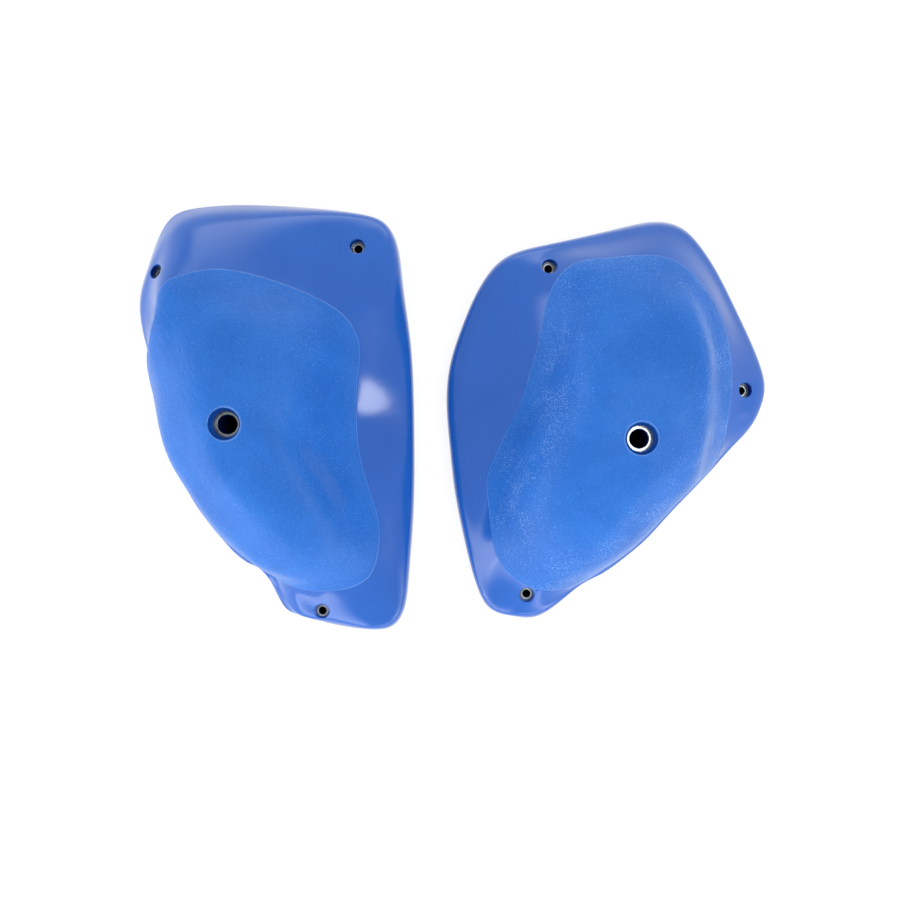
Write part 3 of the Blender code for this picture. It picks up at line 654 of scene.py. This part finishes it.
# %% Objects from points, and trees turned into plain meshes
def mesh_object(name, points, faces, materials=(), edges=()):
    """A new object from points and faces, or from edges alone."""
    mesh = bpy.data.meshes.new(name)
    faces = faces.tolist() if isinstance(faces, np.ndarray) else faces
    mesh.from_pydata(np.asarray(points).tolist(), edges, faces)
    made = bpy.data.objects.new(name, mesh)
    bpy.context.scene.collection.objects.link(made)
    for material in materials:
        mesh.materials.append(material)
    return made


def run_tree(item, tree, **values):
    """Run a Geometry Nodes tree on an object with its named inputs set."""
    modifier = item.modifiers.new(tree.name, "NODES")
    modifier.node_group = tree
    for socket in tree.interface.items_tree:
        key = socket.name.lower().replace(" ", "_")
        if socket.in_out == "INPUT" and key in values:
            modifier[socket.identifier] = values[key]
    keep_result(item)


def keep_result(item):
    """Replace an object's mesh by its evaluated one, and drop its modifiers."""
    graph = bpy.context.evaluated_depsgraph_get()
    mesh = bpy.data.meshes.new_from_object(item.evaluated_get(graph))
    item.modifiers.clear()
    old = item.data
    item.data = mesh
    mesh.name = item.name
    bpy.data.meshes.remove(old)


def store(mesh, name, values):
    """Keep one number for each point of a mesh, for its material or tree to read."""
    mesh.attributes.new(name, "FLOAT", "POINT").data.foreach_set("value", values)


# %% [markdown]
# ## The skin of each hold
# The grid is built about the origin, moved to its bolt axis, and given its grain. Both castings are made
# by the same steps from their own sections. A record of each skin before its grain, for casting rays on,
# is kept for the drills.

# %% Build the two skins
CASTING = (polished, sanded, back)
BACK_SLOT = CASTING.index(back)
RIM_ARRIS = 0.001
MOUTH_SANDED = 0.3


def build_skin(side):
    """The closed outer skin, with the sanded mask stored on its points."""
    hold = HOLDS[side]
    angles = spread_angles(hold, COLUMNS)
    smooth = loft(hold, angles, SHARES)
    mouth = loft(hold, angles, [(len(ROWS) - 1, 1.0)])
    rings, mask = raise_pad(np.concatenate([smooth, mouth]), SHARES)
    rings[..., 2] = np.maximum(rings[..., 2], 0.0)
    rings[0] = ring(np.hypot(*smooth[0].T[:2]) - RIM_ARRIS, 0.0, angles)
    down = recess_rings(side, rings[-1], angles)
    # The mouth's ring is partly sanded, which also gives it a share of the pad edge's painted highlight.
    mask[-1] = MOUTH_SANDED
    mask = np.concatenate([mask, np.zeros(down.shape[:2])])
    stack = np.concatenate([rings, down]) + np.array(AXES[side])
    faces = ring_faces(len(stack), COLUMNS)
    wall = closing_faces(len(stack), COLUMNS)
    skin = mesh_object(side + "_hold", stack.reshape(-1, 3), np.concatenate([faces, wall]), CASTING)
    skin.data.polygons.foreach_set("material_index", [0] * len(faces) + [BACK_SLOT] * len(wall))
    skin.data.shade_smooth()
    store(skin.data, "sanded", mask.ravel())
    return skin


SKINS = {side: build_skin(side) for side in HOLDS}
SURFACES = {}
for side, skin in SKINS.items():
    SURFACES[side] = BVHTree.FromObject(skin, bpy.context.evaluated_depsgraph_get())
    run_tree(skin, grain_tree, grain_size=GRAIN_SIZE, grain_height=GRAIN_HEIGHT, seed=GRAIN_SEED)
    print(skin.name, len(skin.data.polygons), "faces")

# %% [markdown]
# ## The hollow back
# Resin is dear and heavy, so a big hold is cast over a plug that leaves a wall of about eight
# millimetres. The plug's roof is the skin worn down by that thickness: over each point the lowest of all
# the balls of that radius that touch the skin. Ribs and screw bosses are then taken out of the plug, so
# they stay in the casting.

# %% The plug that shapes the hollow
SKIN_THICKNESS = 0.008
RIM_LAND = 0.010
EDGE_DEPTH = 0.005
COLUMN_WALL = 0.0075
COLUMN = BOLT["flange"] + AIR + COLUMN_WALL
COLUMN_DRAFT = 0.03
RIB = {"thickness": 0.006, "recess": 0.003, "height": 0.1}
PLUG_COLUMNS = 120
PLUG_ROWS = 12
SAMPLE_COLUMNS = 240
SAMPLE_ROWS = [8] * len(ROWS)
OUTLINE_STEPS = 50
SMOOTHINGS = 3
BELOW = -0.01


def roof_heights(skin, points):
    """How high the hollow may reach at each (x, y) with the skin's full thickness over it."""
    heights = []
    for x, y in points:
        away = (skin[:, 0] - x) ** 2 + (skin[:, 1] - y) ** 2
        near = away < SKIN_THICKNESS**2
        fall = np.sqrt(SKIN_THICKNESS**2 - away[near])
        heights.append((skin[near, 2] - fall).min() if near.any() else 0.0)
    return np.array(heights)


def plug_outline(hold, skin, angles, inner):
    """Outer radius of the hollow at each angle, inside the rim's land."""
    rim, _ = section_at(hold["rim"], angles)
    outline = []
    for angle, edge in zip(angles, rim):
        radii = np.linspace(edge - RIM_LAND, inner, OUTLINE_STEPS)
        room = roof_heights(skin, np.outer(radii, (math.cos(angle), math.sin(angle))))
        deep = np.nonzero(room >= EDGE_DEPTH)[0]
        outline.append(radii[deep[0]] if len(deep) else inner)
    outline = np.array(outline)
    beside = np.minimum(np.roll(outline, 2), np.roll(outline, -2))
    narrow = np.minimum(outline, beside)
    for _ in range(SMOOTHINGS):
        narrow = (np.roll(narrow, 1) + 2 * narrow + np.roll(narrow, -1)) / 4
    return narrow


def build_plug(side):
    """The ring-shaped body of air round the bolt column."""
    hold = HOLDS[side]
    fine = np.linspace(0, math.tau, SAMPLE_COLUMNS + 1)[:-1]
    skin = loft(hold, fine, even_shares(SAMPLE_ROWS)).reshape(-1, 3)
    angles = np.linspace(0, math.tau, PLUG_COLUMNS + 1)[:-1]
    tall = COLUMN + COLUMN_DRAFT * hold["mouth"][0]
    outline = plug_outline(hold, skin, angles, tall + RIB["thickness"])
    rings = [ring(COLUMN, BELOW, angles), ring(outline, BELOW, angles)]
    for share in np.linspace(1, 0, PLUG_ROWS):
        flat = ring(tall + (outline - tall) * share, 0.0, angles)
        flat[:, 2] = roof_heights(skin, flat[:, :2])
        rings.append(flat)
    size = (len(rings), PLUG_COLUMNS)
    points = np.array(rings).reshape(-1, 3) + np.array(AXES[side])
    faces = np.concatenate([ring_faces(*size), closing_faces(*size)])
    return mesh_object(side + "_plug", points, faces, CASTING)


PLUGS = {side: build_plug(side) for side in HOLDS}
print("plugs:", [len(plug.data.polygons) for plug in PLUGS.values()], "faces")

# %% [markdown]
# ## Cutting with the Manifold solver
# Each cut is a Boolean difference. The Manifold solver needs closed meshes, and in return cuts a skin of
# ninety thousand faces in well under a second, where the Exact one would take minutes.

# %% Ribs, bosses and the Boolean
def cut(target, cutter):
    """Take a closed cutter out of a closed solid and delete the cutter."""
    step = target.modifiers.new("cut", "BOOLEAN")
    step.operation = "DIFFERENCE"
    step.solver = "MANIFOLD"
    step.object = cutter
    keep_result(target)
    bpy.data.objects.remove(cutter)


def rib_block(axis, turn, length):
    """A rib from the bolt axis out, clear of the wall face."""
    along = np.array((math.cos(turn), math.sin(turn), 0))
    across = np.array((-along[1], along[0], 0)) * RIB["thickness"] / 2
    low = np.array(axis) + (0, 0, RIB["recess"])
    corners = [low - across, low + along * length - across, low + along * length + across, low + across]
    corners += [corner + (0, 0, RIB["height"]) for corner in corners]
    faces = [(3, 2, 1, 0), (4, 5, 6, 7), (0, 1, 5, 4), (1, 2, 6, 5), (2, 3, 7, 6), (3, 0, 4, 7)]
    return mesh_object("rib", corners, faces, CASTING)


def capped(name, place, rings):
    """A closed solid from rings round a vertical axis, with its two ends capped."""
    stack = np.array(rings)
    sides = stack.shape[1]
    count = len(stack) * sides
    ends = [(0, 0, stack[0, 0, 2]), (0, 0, stack[-1, 0, 2])]
    points = np.concatenate([stack.reshape(-1, 3), ends]) + np.array(place)
    faces = ring_faces(len(stack), sides).tolist()
    for i in range(sides):
        j = (i + 1) % sides
        faces += [(count, j, i), (count + 1, count - sides + i, count - sides + j)]
    return mesh_object(name, points, faces, CASTING)


# %% [markdown]
# ## The screws' recesses
# Each screw goes straight down through a sloping skin, so the mouth of its recess is an ellipse that
# climbs the slope. The drill that cuts it is made to fit: its upper rings are found by dropping rays on
# the skin round the screw, which lets the mouth be rounded all the way along that climbing edge.

# %% A drill shaped to the skin
SCREW = {"mouth": 0.0050, "lip": 0.0041, "passage": 0.0033, "flange": 0.0055, "thick": 0.0020,
         "seat": 0.0080}
SCREW_SIDES = 40
SCREW_ANGLES = np.arange(SCREW_SIDES) * math.tau / SCREW_SIDES
# How far past the mouth's radius, and how far under the skin, each ring of its rounding lies.
MOUTH_SOFTNESS = ((0.0, 0.0008), (0.00012, 0.00035), (0.00035, 0.00012), (0.0007, -0.00004))
OVER_ALL = 0.12
RAY_START = 0.2


def skin_heights(surface, centre, radius):
    """Heights of a skin at the screw's angles round a place, found by rays from above."""
    heights = []
    for angle in SCREW_ANGLES:
        spot = centre + Vector((radius * math.cos(angle), radius * math.sin(angle), RAY_START))
        heights.append(surface.ray_cast(spot, Vector((0, 0, -1)))[0].z)
    return np.array(heights)


def screw_drill(side, place):
    """The air of one screw's recess, its washer's groove and its passage."""
    centre = AXES[side] + place.to_3d()
    lip = SCREW["seat"] - BOLT["step"] + AIR
    under = SCREW["seat"] - SCREW["thick"] - AIR
    groove = SCREW["flange"] + AIR
    profile = [(SCREW["passage"], BELOW), (SCREW["passage"], under), (groove, under), (groove, lip),
               (SCREW["lip"], lip)]
    for extra, sink in MOUTH_SOFTNESS:
        radius = SCREW["mouth"] + extra
        profile.append((radius, skin_heights(SURFACES[side], centre, radius) - sink))
    profile.append((radius, OVER_ALL))
    return capped("drill", centre, [ring(radius, height, SCREW_ANGLES) for radius, height in profile])


# %% [markdown]
# ## The cuts in their order
# Ribs and bosses come out of the plug first, then the plug out of the skin, and last the drills, which
# run through the bosses that the plug has left. Edges sharper than fifty degrees are marked as such.

# %% Cut the backs and drill the screws
BOSS_WALL = 0.0048
BOSS_RADIUS = SCREW["flange"] + AIR + BOSS_WALL
BOSS_ENDS = (-0.02, 0.1)
SKIN_CREASE = math.radians(50)

for side, skin in SKINS.items():
    axis, plug, places = AXES[side], PLUGS[side], SCREWS[side].values()
    reach = max(np.hypot(*HOLDS[side]["rim"].T[:2]))
    turns = [math.atan2(place.y, place.x) for place in places]
    turns += [math.radians(turn) for turn in HOLDS[side]["free_ribs"]]
    for turn in turns:
        cut(plug, rib_block(axis, turn, reach))
    for place in places:
        boss = [ring(BOSS_RADIUS, height, SCREW_ANGLES) for height in BOSS_ENDS]
        cut(plug, capped("boss", axis + place.to_3d(), boss))
    plug.data.polygons.foreach_set("material_index", [BACK_SLOT] * len(plug.data.polygons))
    cut(skin, plug)
    for place in places:
        cut(skin, screw_drill(side, place))
    skin.data.set_sharp_from_angle(angle=SKIN_CREASE)
    skin.data.calc_loop_triangles()
    print(skin.name, len(skin.data.loop_triangles), "triangles")

# %% [markdown]
# ## The washers
# A washer is turned, so its half section says everything about it: a flange that the casting laps over,
# a raised seat for the screw's head, and a bore with its edge broken. All eight washers come from one
# tree, which rounds the corners of the half section, sweeps it round its axis and turns its faces out.

# %% The washer's node tree
WASHER_SIDES = 96

washer_tree = bpy.data.node_groups.new("turned_washer", "GeometryNodeTree")
given = named_inputs(washer_tree, (("Mean radius", "NodeSocketFloat", 0.008),
                                   ("Corner radius", "NodeSocketFloat", 0.0002),
                                   ("Sides", "NodeSocketInt", WASHER_SIDES),
                                   ("Centre", "NodeSocketVector", (0, 0, 0))))
outline = add_node(washer_tree, "GeometryNodeMeshToCurve", None, {0: given["Geometry"]})
softened = add_node(washer_tree, "GeometryNodeFilletCurve", {"mode": "POLY"},
                    {"Curve": outline.outputs[0], "Count": 3, "Radius": given["Corner radius"]})
circle = add_node(washer_tree, "GeometryNodeCurvePrimitiveCircle", None,
                  {"Resolution": given["Sides"], "Radius": given["Mean radius"]})
swept = add_node(washer_tree, "GeometryNodeCurveToMesh", None,
                 {"Curve": circle.outputs[0], "Profile Curve": softened.outputs[0]})
outward = add_node(washer_tree, "GeometryNodeFlipFaces", None, {0: swept.outputs[0]})
placed = add_node(washer_tree, "GeometryNodeTransform", None,
                  {"Geometry": outward.outputs[0], "Translation": given["Centre"]})
real = add_node(washer_tree, "GeometryNodeRealizeInstances", None, {0: placed.outputs[0]})
plated = add_node(washer_tree, "GeometryNodeSetMaterial", None,
                  {"Geometry": real.outputs[0], "Material": steel})
add_node(washer_tree, "NodeGroupOutput", None, {0: plated.outputs[0]})
print("washer tree has", len(washer_tree.nodes), "nodes")

# %% [markdown]
# ## Two sizes of washer
# The bolt's washer and the screws' differ only in their measures. Each is swept about its own centre,
# set down where its node stands, and keeps its radius and its painted shade on its points.

# %% Make the eight washers
BOLT_RING = {"bore": 0.0061, "seat": 0.0084, "flange": 0.0102, "thick": 0.0030, "chamfer": 0.0005}
SCREW_RING = {"bore": 0.0025, "seat": 0.0038, "flange": 0.0055, "thick": 0.0020, "chamfer": 0.0004}
# How far each washer's plating is painted towards the dull blue-grey of shade and dark reflection.
WASHER_SHADE = {"left_bolt_washer": 0.75, "right_bolt_washer": 0.0}
SCREW_WASHER_SHADE = 0.45
WASHER_CREASE = math.radians(40)


def make_washer(node, form):
    """One washer in the place of its CAD node."""
    low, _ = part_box(node)
    centre = middle(node)
    mean = (form["bore"] + form["flange"]) / 2
    bore, seat, flange, thick, chamfer = form.values()
    shoulder, foot = thick - BOLT["step"], chamfer / 3
    half = [(bore, foot), (bore + foot, 0), (flange, 0), (flange, shoulder), (seat, shoulder),
            (seat, thick), (bore + chamfer, thick), (bore, thick - chamfer)]
    points = [(radius - mean, -height, 0) for radius, height in half]
    edges = [(i, (i + 1) % len(points)) for i in range(len(points))]
    made = mesh_object(node.replace("washer", "ring"), points, [], edges=edges)
    run_tree(made, washer_tree, mean_radius=mean, corner_radius=chamfer / 6, sides=WASHER_SIDES,
             centre=(centre.x, centre.y, low.z))
    spots = np.array([vertex.co for vertex in made.data.vertices])
    store(made.data, "turned_radius", np.hypot(spots[:, 0] - centre.x, spots[:, 1] - centre.y))
    store(made.data, "painted_shade", np.full(len(spots), WASHER_SHADE.get(node, SCREW_WASHER_SHADE)))
    made.data.shade_smooth()
    made.data.set_sharp_from_angle(angle=WASHER_CREASE)
    print(made.name, np.round(spots.min(0), 4), np.round(spots.max(0), 4), [round(v, 4) for v in low])
    return made


WASHERS = {}
for node in sorted(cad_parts):
    if "washer" in node:
        WASHERS[node] = make_washer(node, BOLT_RING if "bolt" in node else SCREW_RING)

# %% [markdown]
# ## Fitting the pieces to the frame
# Every piece rides on the one body of this model and takes the place of its CAD node.

# %% Ride and replace
for side, skin in SKINS.items():
    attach(skin, "root")
    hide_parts(side + "_hold_body")
for node, piece in WASHERS.items():
    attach(piece, "root")
    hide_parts(node)
print(len(SKINS) + len(WASHERS), "pieces ride on the root")

# %% [markdown]
# ## The floor and the room
# The holds are seen on a sheet of white. The floor shows white to the camera and in reflections, and a
# share of it still answers to the lamps, which keeps the soft contact shadow.

# %% The floor
FLOOR_HALF = 3.0
FLOOR_DROP = 0.0002
corners = [(x * FLOOR_HALF, y * FLOOR_HALF, -FLOOR_DROP) for x, y in ((-1, -1), (1, -1), (1, 1), (-1, 1))]
floor = mesh_object("floor", corners, [(0, 1, 2, 3)])
paper = bpy.data.materials.new("white_paper")
paper.use_nodes = True
tree = paper.node_tree
tree.nodes.clear()
rays = add_node(tree, "ShaderNodeLightPath").outputs
seen = operate(tree, "MAXIMUM", rays["Is Camera Ray"], rays["Is Glossy Ray"])
seen = operate(tree, "MAXIMUM", seen, rays["Is Transmission Ray"])
matt = add_node(tree, "ShaderNodeBsdfDiffuse", None, {"Color": (0.85, 0.85, 0.85, 1)})
shadow = add_node(tree, "ShaderNodeBsdfDiffuse", None, {"Color": (0.25, 0.25, 0.25, 1)})
glow = add_node(tree, "ShaderNodeEmission", None, {"Color": (1, 1, 1, 1), "Strength": 0.80})
lit = add_node(tree, "ShaderNodeAddShader", None, {0: shadow.outputs[0], 1: glow.outputs[0]})
both = add_node(tree, "ShaderNodeMixShader", None, {0: seen, 1: matt.outputs[0], 2: lit.outputs[0]})
add_node(tree, "ShaderNodeOutputMaterial", None, {"Surface": both.outputs[0]})
floor.data.materials.append(paper)
print(floor.name, "is", 2 * FLOOR_HALF, "m across")

# %% [markdown]
# ## The dark under a hold
# No light gets under a real hold on a sheet of paper, so the bores look black. The floor shows white to
# reflections everywhere, also there, and a black sheet of painted shade just inside each rim puts that
# right.

# %% A sheet of painted shade under each hold
SHEET_DROP = 0.0001
SHEET_SHARE = 0.97
# Painted shade: a black, matt material for the sheets under the holds.
dark = bpy.data.materials.new("paper_in_the_dark")
dark.use_nodes = True
shader = dark.node_tree.nodes["Principled BSDF"]
shader.inputs["Base Color"].default_value = (0.004, 0.004, 0.004, 1)
shader.inputs["Specular IOR Level"].default_value = 0.0
for side, hold in HOLDS.items():
    foot = hold["rim"][:, :2] * SHEET_SHARE + np.array(AXES[side])[:2]
    flat = [(x, y, -SHEET_DROP) for x, y in foot]
    mesh_object("under_" + side, flat, [list(range(len(flat)))], [dark])
print(len(HOLDS), "dark sheets, in", dark.name)

# %% [markdown]
# ## Light
# A plain, even studio light. The room is a pale grey all round. Five wide soft lamps stand on the floor
# along its walls and fade out upwards, so that the polished skirts turn pale where they face the lower
# left, the back and the front. They are what gives a smooth blue casting its form. A compact lamp high
# on the right, with hard edges like a window's, puts the single bright patch on the left hold's ramp,
# and a small one overhead whitens the flat seat of the right hold's washer.

# %% The room's light and the lamps
world = bpy.data.worlds.new("pale_room")
bpy.context.scene.world = world
world.use_nodes = True
tree = world.node_tree
tree.nodes.clear()
room = add_node(tree, "ShaderNodeBackground", None, {"Color": (1, 1, 1, 1), "Strength": 0.8})
white = add_node(tree, "ShaderNodeBackground", None, {"Color": (1, 1, 1, 1), "Strength": 1.0})
camera_ray = add_node(tree, "ShaderNodeLightPath").outputs["Is Camera Ray"]
chosen = add_node(tree, "ShaderNodeMixShader", None,
                  {0: camera_ray, 1: room.outputs[0], 2: white.outputs[0]})
add_node(tree, "ShaderNodeOutputWorld", None, {"Surface": chosen.outputs[0]})


def fade_out(tree, share, start):
    """One in the middle of a lamp, falling smoothly to nothing at its edge."""
    away = operate(tree, "ABSOLUTE", operate(tree, "MULTIPLY_ADD", share, 2.0, -1.0))
    return add_node(tree, "ShaderNodeMapRange", {"interpolation_type": "SMOOTHSTEP"},
                    {0: away, 1: start, 2: 1.0, 3: 1.0, 4: 0.0}).outputs[0]


def softbox(name, azimuth, elevation, width, height, radiance, target, distance, soft=False):
    """A rectangular lamp of a given radiance, seen from the target in the given direction."""
    azimuth, elevation = math.radians(azimuth), math.radians(elevation)
    way = Vector((math.cos(elevation) * math.cos(azimuth), math.cos(elevation) * math.sin(azimuth),
                  math.sin(elevation)))
    lamp = bpy.data.lights.new(name, "AREA")
    lamp.shape = "RECTANGLE"
    lamp.size, lamp.size_y = width, height
    lamp.energy = radiance * math.pi * width * height
    if soft:
        lamp.use_nodes = True
        tree = lamp.node_tree
        across = split(tree, add_node(tree, "ShaderNodeNewGeometry").outputs["Parametric"])
        fades = fade_out(tree, across["X"], 0.7), fade_out(tree, across["Y"], 0.2)
        tree.links.new(operate(tree, "MULTIPLY", *fades), tree.nodes["Emission"].inputs["Strength"])
    made = bpy.data.objects.new(name, lamp)
    made.location = Vector(target) + way * distance
    made.rotation_euler = (-way).to_track_quat("-Z", "Y").to_euler()
    bpy.context.scene.collection.objects.link(made)


# Each wall's azimuth and elevation in degrees, width and height in metres, and radiance.
WALLS = {"left_wall": (-171, 3, 2.5, 2.1, 3.4), "corner_wall": (-120, 3, 2.0, 2.1, 3.6),
         "front_wall": (-62, 0, 1.9, 0.9, 3.0), "front_right_wall": (-39, 2, 1.5, 1.9, 1.7),
         "back_wall": (83, 0, 2.7, 1.9, 2.0)}
softbox("window", -17.5, 45.6, 0.26, 0.58, 10.5, target=(-0.054, 0.014, 0.023), distance=1.6)
for name, wall in WALLS.items():
    softbox(name, *wall, target=(0, 0, 0.03), distance=1.8, soft=True)
softbox("overhead_right", 5, 83, 0.36, 0.36, 6.0, target=(0.12, -0.01, 0.06), distance=1.8)
print(len(WALLS) + 2, "lamps")

# %% [markdown]
# ## The camera
# The picture is taken straight down from about 1.1 metres, which the recesses' visible walls give away.
# The focal length follows from the scale at the floor: 0.688 mm to each of the 900 pixels.

# %% The camera
CAMERA_HEIGHT = 1.1
PIXEL = 0.000688
PICTURE = 900
scene = bpy.context.scene
camera_data = bpy.data.cameras.new("camera")
camera_data.sensor_width = 36
camera_data.lens = camera_data.sensor_width * CAMERA_HEIGHT / (PICTURE * PIXEL)
camera = bpy.data.objects.new("camera", camera_data)
camera.location = (-0.0015, -0.0225, CAMERA_HEIGHT)
scene.collection.objects.link(camera)
scene.camera = camera
scene.view_settings.view_transform = "Standard"
print("lens", round(camera_data.lens, 2), "mm")
